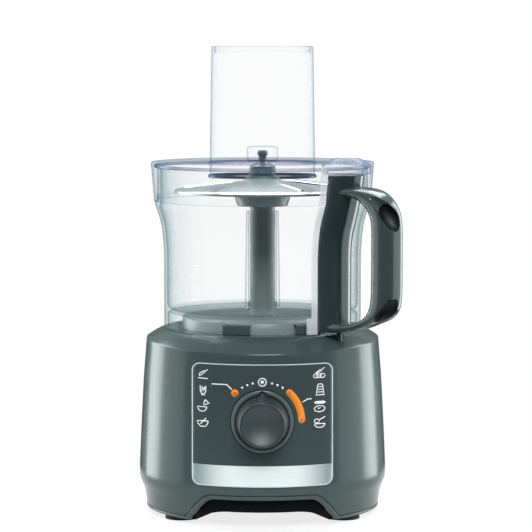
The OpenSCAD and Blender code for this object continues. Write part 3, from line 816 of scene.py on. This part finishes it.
def print_right_signs(white):
    # Slices under a knife
    white.sign(44.0, 119.2, [(-3.1, 0.4), (0.2, 2.9), (1.5, 2.0), (-3.1, 0.4)], [(1.0, 2.4), (3.8, 4.6)])
    for x in (41.2, 43.4, 46.2):
        white.circle(x, 117.6, 1.9, 0.55, 0.85)
    # Grater
    white.sign(44.4, 107.1, [(-2.8, -3.6), (-2, 3.0), (-1, 4.2), (1, 4.2), (2, 3.0), (2.8, -3.6)],
               [(-3.4, -4.2), (3.4, -4.2)], [(-2.0, -2), (2.0, -2)], [(-1.6, 0), (1.6, 0)],
               [(-1.1, 2), (1.1, 2)])
    # Loaf and a roll
    white.line([(39.9, 97.1), (48.5, 97.1)], 1.3)
    white.line([(41.0, 97.1), (47.4, 97.1)], 2.2)
    white.circle(44.0, 92.3, 4.1, 0.62, 0.58)
    white.line([(42.6, 93.2), (43.4, 92.0), (44.8, 93.6)], 0.55)
    # Ladle over a bowl
    white.sign(44.1, 81.8, bowl_lines(0, -1.1, 4.2, 2.7), [(-0.6, 1.7), (4.3, 4.2)])
    white.circle(41.8, 82.9, 1.9, 0.62, 0.8)


def print_speeds():
    """An orange spot for pulse and an orange arc for the speeds, with the numerals 1 and 2 at its ends."""
    orange = Print(0.34)
    pulse = dial_mark(PULSE_ANGLE)
    orange.dot(*pulse, 2.9)
    arc = [dial_mark(SPEED_START + SPEED_SWEEP * i / 20) for i in range(21)]
    orange.line(arc, 5.4)
    for end in (arc[0], arc[-1]):
        orange.dot(*end, 2.7)
    orange.lay("orange_print", ORANGE_INK)
    brown = Print(0.44)
    brown.circle(*pulse, 1.1, 0.5)
    x, z = arc[0]
    brown.line([(x - 0.5, z + 0.7), (x + 0.1, z + 1.3), (x + 0.1, z - 1.3)], 0.5)
    x, z = arc[-1]
    brown.line([(x - 0.8, z + 0.8), (x, z + 1.4), (x + 0.7, z + 0.7), (x - 0.8, z - 1.2), (x + 0.9, z - 1.2)],
               0.5)
    brown.lay("numerals", BROWN_INK)


def make_panel():
    panel_field("panel_overlay", STRIP_HIGH + 0.3, PANEL_HIGH - 0.9, 0.9, 0.02, PANEL, ["control_panel"])
    panel_field("silver_band", PANEL_LOW + 0.5, STRIP_HIGH, 0.5, 0.14, STRIP, ["blank_strip"])
    grid("panel_line", stroke(panel_outline(0.5), 0.8, 0.1, True), LINE, "base", wrap=True, thickness=0.5,
         stands_for=["panel_frame"])
    white = Print(0.32)
    print_dial_marks(white)
    print_left_signs(white)
    print_right_signs(white)
    white.lay("white_print", WHITE_INK)
    print_speeds()


# The speed dial

POINTER_HALF = math.radians(14)
DIAL_TURN = whole_turn(144)


def dial_row(r, reach, pointer=0.0):
    """One ring of the dial, reaching out from its middle; the pointer swells at its top."""
    row = []
    for a in DIAL_TURN:
        off = min(1.0, min(a, 2 * math.pi - a) / POINTER_HALF)
        out = r + pointer * (0.5 + 0.5 * math.cos(math.pi * off)) ** 1.3
        row.append((DIAL.x + out * math.sin(a), DIAL.y - reach, DIAL.z + out * math.cos(a)))
    return row


def ring_on_base(r, lift):
    """One ring round the dial that follows the base's front."""
    return [on_base(r * math.sin(a), DIAL.z + r * math.cos(a), lift) for a in DIAL_TURN]


def make_dial():
    knob = [(0.2, 1.7, 0), (20.0, 1.7, 1.6), (20.2, 2.0, 1.8), (20.1, 3.4, 2.4), (19.8, 6, 3.0),
            (18.9, 12, 3.0), (18.0, 17, 2.2), (17.5, 19.4, 1.0), (17.1, 20.4, 0.3), (16.6, 20.9, 0),
            (16.1, 21.0, 0), (15.8, 20.8, 0)]
    grid("dial_knob", [dial_row(*p) for p in knob], KNOB, "dial", wrap=True, stands_for=["speed_dial"],
         angle=55)
    # A near-black ring round the knob's foot: painted shade where the knob meets the flange.
    outline = [dial_row(19.4, 3.0, 2.4), dial_row(21.2, 3.1, 2.9), dial_row(21.3, 2.8, 2.9)]
    grid("dial_edge_shade", outline, GAP_SHADE, "dial", wrap=True, angle=60)
    dish = [(15.9, 20.85), (15.6, 20.4)]
    dish += [(r, 15.8 + 4.4 * (r / 15.4) ** 2) for r in (15.4, 13, 10.5, 8, 5.5, 3, 0.2)]
    grid("dial_dish", [dial_row(*p) for p in dish], DISH, "dial", wrap=True, angle=60)
    flange = [(20.9, 0.2), (20.9, 1.3), (21.3, 1.55), (23.4, 1.5), (23.9, 1.2), (24.0, 0.2)]
    grid("dial_flange", [ring_on_base(*p) for p in flange], BEZEL, "base", wrap=True,
         stands_for=["dial_bezel"], angle=50)
    # Near-black rings round the flange: painted shade in the gap between the flange and the panel.
    gap_shade_rings = [(20.0, 0.35), (24.0, 0.4), (24.9, 0.4), (24.95, 0.1)]
    grid("dial_gap_shade", [ring_on_base(*p) for p in gap_shade_rings], GAP_SHADE, "base", wrap=True)


# The clear bowl

BOWL_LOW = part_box("bowl_floor")[0].z / MM
BOWL_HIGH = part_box("bowl")[1].z / MM
WALL_TOP = FOOT + 243.7
WALL_THICK = 2.4
WALL = curve_through([(FOOT + z, r) for z, r in (
    (143.5, 78.6), (200, 78.6), (211, 79.2), (219, 79.9), (224.8, 80.7), (229, 81.6), (232.8, 82.7),
    (236.5, 84.0), (240, 85.2), (243.7, 86.15))])
FLOOR = FOOT + 158
CHIMNEY_TOP = FOOT + 236
LID_TOP = FOOT + 275.4
# How much the lid's skirt widens per millimetre of height
LID_FLARE = 2.4 / 31.4
BOWL_LUG_STARTS = (86, 134, 266, 314)


def make_bowl():
    outside = [(WALL(z), z) for z in steps_between(BOWL_LOW + 0.5, WALL_TOP, 48)]
    rim = [(85.9, FOOT + 244.1), (84.4, FOOT + 244.3), (83.9, FOOT + 245), (83.9, BOWL_HIGH - 0.7),
           (83.6, BOWL_HIGH), (81.8, BOWL_HIGH), (81.5, BOWL_HIGH - 0.7), (81.5, FOOT + 243)]
    inside = [(WALL(z) - WALL_THICK, z) for z in steps_between(FOOT + 239, FLOOR + 3.6, 40)]
    floor = [(75.6, FLOOR + 1.7), (74.8, FLOOR + 0.5), (73.5, FLOOR), (15, FLOOR), (14.1, FLOOR + 0.8)]
    chimney = [(13, CHIMNEY_TOP - 0.4), (12.6, CHIMNEY_TOP), (11.8, CHIMNEY_TOP), (11.5, CHIMNEY_TOP - 0.4)]
    under = [(11.5, FLOOR - 1.9), (12, FLOOR - 2.4), (74.9, FLOOR - 2.4), (75.9, FLOOR - 3.4),
             (75.9, BOWL_LOW + 0.5), (76.4, BOWL_LOW), (78.1, BOWL_LOW)]
    profile = outside + rim + inside + floor + chimney + under
    turned("clear_bowl", profile, CLEAR_BOWL, "bowl_with_handle", 180, closed=True,
           stands_for=["bowl", "bowl_floor"], angle=40)
    lug = [(71.8, BOWL_LOW + 2), (75.8, BOWL_LOW + 2), (75.8, BOWL_LOW + 5), (71.8, BOWL_LOW + 5)]
    for k, start in enumerate(BOWL_LUG_STARTS):
        turned("bowl_lug_%d" % k, lug, CLEAR_BOWL, "bowl_with_handle", 12, closed=True, start=start,
               sweep=LUG_SWEEP, rounding=0.5)


def on_handle(u, w, z):
    """A point in the handle's own directions: out from the spindle, across, and up."""
    c, s = math.cos(HANDLE_TURN), math.sin(HANDLE_TURN)
    return (SPINDLE.x + u * c - w * s, SPINDLE.y + u * s + w * c, z)


def fin_row(r, near, far, z):
    """One section of a fin on a round wall of radius r, from one side of the fin to the other."""
    corners = ((near, -1.2), (near, 0.9), (far, 1.2), (far, -1.4))
    return [on_handle(math.sqrt(r * r - w * w) + out, w, z) for w, out in corners]


def make_fins():
    """The clear fin on the bowl beside the handle's column, wider at its foot, and the lid's fin above it."""
    foot = BOWL_LOW + 13
    rows = [fin_row(WALL(z), -25.0, -17.4, z) for z in (BOWL_LOW + 0.4, foot)]
    rows += [fin_row(WALL(z), -20.9, -17.4, z) for z in steps_between(foot, FOOT + 243.4, 40)]
    grid("bowl_fin", rows, CLEAR_FIN_HIGHLIGHT, "bowl_with_handle", wrap=True, angle=40)
    low = FOOT + 244.6
    heights = steps_between(low, LID_TOP - 1.2, 6)
    rows = [fin_row(87.2 + LID_FLARE * (z - low), -21.6, -17.6, z) for z in heights]
    grid("lid_fin", rows, CLEAR_FIN_HIGHLIGHT, "lid_with_tube", wrap=True, angle=40)


def volume_tick(angle, z, wide):
    """Pairs of points along one tick on the bowl's wall, below and above its middle."""
    points = []
    for share in steps_between(-0.5, 0.5, 6):
        a = math.radians(angle + share * wide)
        points += [round_the_spindle(a, WALL(z + up) + 0.05, z + up) for up in (-0.35, 0.35)]
    return points


def make_volume_marks():
    points, faces = [], []
    for i in range(7):
        angle, wide = (-41, 3.2) if i % 2 else (-42, 5.6)
        start = len(points)
        points += volume_tick(angle, FOOT + 170 + 9 * i, wide)
        faces += [(start + k, start + k + 2, start + k + 3, start + k + 1) for k in range(0, 12, 2)]
    finish_piece("volume_marks", points, faces, WHITE_INK, "bowl_with_handle")


# The clear lid and its feed tube

LID_TURN = whole_turn(192)
LID_LOW = FOOT + 244
SKIRT_R = 88.9
TUBE_Y = SPINDLE.y - 43.5
TUBE_HALF_WIDTH = 41
TUBE_HALF_DEPTH = 31
TUBE_CORNER = 28
TUBE_DRAFT = 1.5 / 91
TUBE_FOOT = FOOT + 264.5
CAP_HIGH = FOOT + 287.4
TAB_LOW = FOOT + 268.3


def tube_row(inset, z, draft=TUBE_DRAFT):
    """One ring round the feed tube, which narrows a little towards its mouth."""
    inset += draft * max(0.0, z - LID_TOP)
    corner = TUBE_CORNER - inset
    across = TUBE_HALF_WIDTH - TUBE_CORNER
    deep = TUBE_HALF_DEPTH - TUBE_CORNER
    row = []
    for a in LID_TURN:
        quarter = int(a / (math.pi / 2) + 1e-6)
        x = across if quarter in (0, 3) else -across
        y = deep if quarter in (0, 1) else -deep
        row.append((SPINDLE.x + x + corner * math.cos(a), TUBE_Y + y + corner * math.sin(a), z))
    return row


def lid_row(r, z):
    return [(SPINDLE.x + r * math.cos(a), SPINDLE.y + r * math.sin(a), z) for a in LID_TURN]


def make_feed_tube():
    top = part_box("lid")[1].z / MM
    tube = [(2.2, TUBE_FOOT + 3.5), (2.2, TUBE_FOOT + 0.4), (1.8, TUBE_FOOT), (0.4, TUBE_FOOT),
            (0, TUBE_FOOT + 0.5), (0, LID_TOP + 1)]
    tube += [(0, z) for z in steps_between(LID_TOP + 10, top - 0.8, 8)]
    tube += [(0.25, top - 0.2), (0.8, top), (1.5, top), (2.0, top - 0.2), (2.2, top - 0.8), (2.2, top - 5)]
    grid("feed_tube", [tube_row(*p) for p in tube], CLEAR_LID, "lid_with_tube", wrap=True, stands_for=["lid"],
         angle=40)


def make_lid_shell():
    """The plate from the tube's foot out to the rim, then the skirt down to the bowl's ledge."""
    rows = [tube_row(0.0, LID_TOP + 1.6), tube_row(-0.3, LID_TOP + 0.6)]
    inner, outer = tube_row(-1.2, LID_TOP), lid_row(87.2, LID_TOP)
    for share in steps_between(0, 1, 4):
        rows.append([tuple(a + (b - a) * share for a, b in zip(p, q)) for p, q in zip(inner, outer)])
    rows += [lid_row(88.1, LID_TOP - 0.1), lid_row(88.7, LID_TOP - 0.6)]
    rows += [lid_row(SKIRT_R - 2.4 * share, LID_TOP - 1.4 - 29.4 * share) for share in steps_between(0, 1, 8)]
    for r, up in ((86.3, 0.1), (85.9, 0), (84.7, 0), (84.4, 0.6), (84.6, 5)):
        rows.append(lid_row(r, LID_LOW + up))
    grid("lid_shell", rows, CLEAR_LID, "lid_with_tube", wrap=True, angle=50)
    bead = [(84.9, LID_TOP - 2.2), (86.3, LID_TOP - 2.2), (86.4, LID_TOP - 4.2), (85.4, LID_TOP - 4.8),
            (84.8, LID_TOP - 4)]
    turned("lid_bead", bead, CLEAR_EDGE_DARK, "lid_with_tube", 180, closed=True, angle=60)


def make_tube_rings():
    """The rounded edge at the tube's foot and the fillet where it stands on the lid."""
    ring = [(0.1, 2.5), (-1.1, 2.3), (-1.3, 1.3), (-1.1, 0.4), (0.1, 0.3)]
    grid("tube_foot_ring", [tube_row(inset, TUBE_FOOT + up, 0.0) for inset, up in ring], CLEAR_EDGE_DARK,
         "lid_with_tube", wrap=True, loop=True, angle=60)
    fillet = [(0.05, 1.9), (-0.9, 1.3), (-1.7, 0.1), (0.05, 0)]
    grid("tube_fillet", [tube_row(inset, LID_TOP + up) for inset, up in fillet], CLEAR_EDGE_DARK,
         "lid_with_tube", wrap=True, loop=True, angle=60)


def make_lid():
    make_feed_tube()
    make_lid_shell()
    make_tube_rings()
    dome = [(12.4, LID_TOP - 0.5), (12.4, CAP_HIGH - 2.2), (12.1, CAP_HIGH - 1), (11.2, CAP_HIGH - 0.3),
            (9.8, CAP_HIGH), (4, CAP_HIGH), (0.2, CAP_HIGH)]
    turned("lid_dome", dome, CLEAR_LID, "lid_with_tube", 72, angle=50)
    tab = [(0.2, TAB_LOW), (18.2, TAB_LOW), (19, TAB_LOW + 0.8), (19, LID_TOP - 0.6), (18.4, LID_TOP + 0.4),
           (15.6, LID_TOP + 1.9), (12.6, LID_TOP + 3.7), (10.4, LID_TOP + 4.8), (9.2, LID_TOP + 4.6),
           (8, LID_TOP + 2.4), (0.2, LID_TOP + 2)]
    turned("lid_tab", tab, CLEAR_BLOCK, "lid_with_tube", 36, axis=Vector(on_handle(92, 0, 0)), angle=12)


# The handle and its column

# The grip from the top of the D round to its foot: its outer and inner edge as (out, up), and its half width.
OUTER = [(84, 258.0), (98, 258.4), (113, 258.3), (126, 255.8), (136, 249.4), (142.2, 240.2), (144.3, 228.4),
         (144.5, 211), (144.5, 191), (144.2, 176), (141.8, 165.6), (134.4, 158.6), (121, 153.2), (107, 148.2),
         (96, 146.2), (84, 145.8)]
INNER = [(84, 250.6), (94, 251.0), (104, 250.4), (112, 247.4), (118.5, 242.0), (122.6, 234.9), (123.8, 226.4),
         (123.8, 210), (123.8, 191), (123.4, 176.4), (121.8, 167), (117.6, 160), (110.7, 155.6), (102, 153.4),
         (94, 153), (84, 153)]
WIDTH = [14.8, 14.4, 13.4, 12.4, 11.7, 11.6, 11.6, 11.6, 11.6, 11.6, 11.6, 11.7, 12.4, 13.4, 14.4, 14.8]
GRIP_TURN = whole_turn(56)
# Hollows for the fingers: a scoop's path as (out, across, up, radius), then the egg at its bottom, cut in
# near-black as painted shade in the hollow's depth.
SCOOPS = (
    [(122, -15.5, 259, 1.5), (130, -13.6, 255.5, 4.4), (138, -9.4, 249, 6.8), (143.6, -5, 241.5, 7.8),
     (146.4, -2, 234.5, 6.6)],
    [(146.4, -2, 176, 6.6), (144.6, -5, 169, 7.8), (139, -9.4, 161.5, 7), (130, -13.2, 155.5, 5),
     (119, -15.5, 152, 2)])
# Middle, direction, length, radius
PAINTED_SHADE_EGGS = (((140.2, -3.2, 240.4), (0.5, 0.25, -0.8), 24, 7.0), ((138.6, -4.4, 167.6), (0.6, 0.3, 0.72), 27, 7.0))
COLUMN_R = 13.8
COLUMN_WING = 3.2
COLUMN_LOW = FOOT + 145.5
COLUMN_HIGH = FOOT + 267.8
COLUMN_TURN = whole_turn(72)
COLUMN_AXIS = curve_through([(FOOT + z, u) for z, u in (
    (145.5, 78.2), (200, 78.2), (210, 78.5), (219.5, 79.9), (229, 82.7), (241, 86.1), (254, 89.4),
    (267.4, 92))])


def egg(centre, along, length, r):
    """Sections of a long egg for round_body, pointing along (out, across, up)."""
    along = Vector(along).normalized()
    rows = []
    for share in steps_between(0, 1, 20):
        t = -math.cos(math.pi * (0.02 + 0.96 * share))
        spot = Vector(centre) + along * (0.5 * length * t)
        rows.append((spot.x, spot.y, spot.z, r * math.sqrt(1 - t * t)))
    return rows


def round_body(name, sections, finish):
    """A closed body of round sections at (out, across, up, radius) points of the handle."""
    rows = []
    for i, (u, w, z, r) in enumerate(sections):
        before, after = sections[max(i - 1, 0)], sections[min(i + 1, len(sections) - 1)]
        along = Vector([a - b for a, b in zip(after[:3], before[:3])]).normalized()
        side = along.cross(Vector((0, 1, 0))).normalized()
        up = along.cross(side)
        rows.append([on_handle(*(Vector((u, w, z)) + (side * math.cos(a) + up * math.sin(a)) * r))
                     for a in whole_turn(40)])
    return closed_tube(name, rows, finish)


def grip_section(outer_u, outer_z, inner_u, inner_z, half_width):
    """One section of the grip, a rounded square between its outer and inner edge."""
    row = []
    for a in GRIP_TURN:
        out, across = (math.copysign(abs(v) ** (2 / 2.7), v) for v in (math.cos(a), math.sin(a)))
        u = (outer_u + inner_u) / 2 + (outer_u - inner_u) / 2 * out
        z = FOOT + (outer_z + inner_z) / 2 + (outer_z - inner_z) / 2 * out
        row.append(on_handle(u, half_width * across, z))
    return row


def make_handle():
    stations = smooth_path([o + i + (w,) for o, i, w in zip(OUTER, INNER, WIDTH)], 7)
    grip = closed_tube("handle_shell", [grip_section(*station) for station in stations], HANDLE)
    for scoop in SCOOPS:
        carve(grip, round_body("scoop", smooth_path(scoop, 8), HANDLE))
    # The eggs' cut faces take the near-black finish: painted shade deep in each hollow.
    for painted_shade_egg in PAINTED_SHADE_EGGS:
        carve(grip, round_body("painted_shade_egg", egg(*painted_shade_egg), GAP_SHADE))
    smooth_between(grip.data, 42)
    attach(grip, "bowl_with_handle")
    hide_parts("bowl_handle")


def column_back(z):
    """Radius of the bowl's wall, or of the lid's skirt above it, that the column's back stays clear of."""
    if z < WALL_TOP:
        return WALL(z) + 0.25
    return 87.1 + LID_FLARE * (z - LID_LOW)


def column_section(z):
    """One section of the column: round, with a wing on one side and its back cut off by the bowl's wall."""
    end = max(0.0, min(1.0, (z - COLUMN_LOW) / 0.6, (COLUMN_HIGH - z) / 0.9))
    r = COLUMN_R - 0.9 * (1 - end) ** 2
    middle = COLUMN_AXIS(z)
    back_r = middle - min(13.6, middle - column_back(z))
    row = []
    for a in COLUMN_TURN:
        u, w = r * math.cos(a), r * math.sin(a)
        if math.sin(a) < -1e-6:
            w -= COLUMN_WING
        u = max(u, math.sqrt(max(back_r * back_r - w * w, 0)) - middle)
        row.append(on_handle(middle + u, w, z))
    return row


def make_column():
    heights = [COLUMN_LOW, COLUMN_LOW + 0.4] + steps_between(COLUMN_LOW + 1.5, COLUMN_HIGH - 1.4, 60)
    heights += [COLUMN_HIGH - 0.7, COLUMN_HIGH - 0.15, COLUMN_HIGH]
    foot = [on_handle(COLUMN_AXIS(COLUMN_LOW) + 6, 0, COLUMN_LOW)] * len(COLUMN_TURN)
    head = [on_handle(COLUMN_AXIS(COLUMN_HIGH) + 4, 0, COLUMN_HIGH)] * len(COLUMN_TURN)
    rows = [foot] + [column_section(z) for z in heights] + [head]
    grid("column_shell", rows, COLUMN, "bowl_with_handle", wrap=True, stands_for=["handle_column"], angle=40)


# The cutting tool

DISC_RIM = FOOT + 252
# How far the blade and the ridges fall per millimetre outwards
BLADE_FALL = 0.122
RIDGE_FALL = 0.118


def make_disc():
    disc = [(21.6, 7.3), (30, 6.4), (66, 2), (69.4, 1.1), (70.4, 0.5), (70.5, -0.2), (70.3, -1.2),
            (69.6, -1.4), (69.1, -1.2), (67.4, -0.2), (30, 4.8), (21.6, 5.8)]
    turned("disc_plate", [(r, DISC_RIM + up) for r, up in disc], DISC, "cutting_tool", 144, closed=True,
           stands_for=["slicing_disc"], angle=50)


def make_blade():
    # The blade's top and, back again, its underside, as (y, up)
    section = [(-3.4, 8.2), (-1.5, 9.0), (2.5, 9.5), (5.6, 9.2), (7.0, 9.0),
               (7.0, 8.9), (5.6, 8.8), (2.5, 8.4), (-1.5, 7.9), (-3.4, 7.6)]
    rows = []
    for x in steps_between(23, 64, 24):
        high = DISC_RIM - (x - 23) * BLADE_FALL
        rows.append([(SPINDLE.x + x, SPINDLE.y + y, high + up) for y, up in section])
    grid("blade", rows, BLADE, "cutting_tool", wrap=True, stands_for=["disc_blade"], angle=30)
    # A near-black sheet under the blade: painted shade in place of the opening in the disc.
    slot_shade = [[(SPINDLE.x + x, SPINDLE.y + y, DISC_RIM + 7.75 - (x - 22) * BLADE_FALL) for y in (-5.6, 8)]
            for x in (25, 64)]
    grid("blade_slot_shade", slot_shade, GAP_SHADE, "cutting_tool", thickness=0.3)


def make_ridges():
    """Two low ridges on the disc, which slide the food round to the blade."""
    across = ((-2.2, -0.3), (-1.4, 0.7), (0, 1.0), (1.4, 0.7), (2.2, -0.3))
    for k, angle in enumerate((180, 300)):
        c, s = math.cos(math.radians(angle)), math.sin(math.radians(angle))
        ridge = []
        for r in steps_between(24, 62, 16):
            z = DISC_RIM + 7.2 - (r - 22) * RIDGE_FALL
            ridge.append([(SPINDLE.x + r * c - w * s, SPINDLE.y + r * s + w * c, z + up) for w, up in across])
        grid("disc_ridge_%d" % k, ridge, DISC, "cutting_tool", angle=40)


# The whole machine on its floor

def dress_frame_nodes():
    for finish, names in FINISHES.items():
        for name in names:
            mesh = nodes[name].data
            mesh.materials.clear()
            mesh.materials.append(finish)


def lay_floor():
    mesh = bpy.data.meshes.new("floor")
    turn = whole_turn(96)
    edge = [(FLOOR_R * math.cos(a), FLOOR_R * math.sin(a), 0) for a in turn]
    mesh.from_pydata(edge, [], [tuple(range(len(turn)))])
    mesh.materials.append(pale_floor())
    floor = put_in_scene("floor", mesh)


dress_frame_nodes()
make_base_shell()
make_base_lip()
make_panel()
make_dial()
make_hub_lugs()
make_bowl()
make_fins()
make_volume_marks()
make_lid()
make_handle()
make_column()
make_disc()
make_blade()
make_ridges()
lay_floor()
studio_world()
light_the_set()
place_camera()
bpy.context.scene.view_settings.view_transform = "Standard"
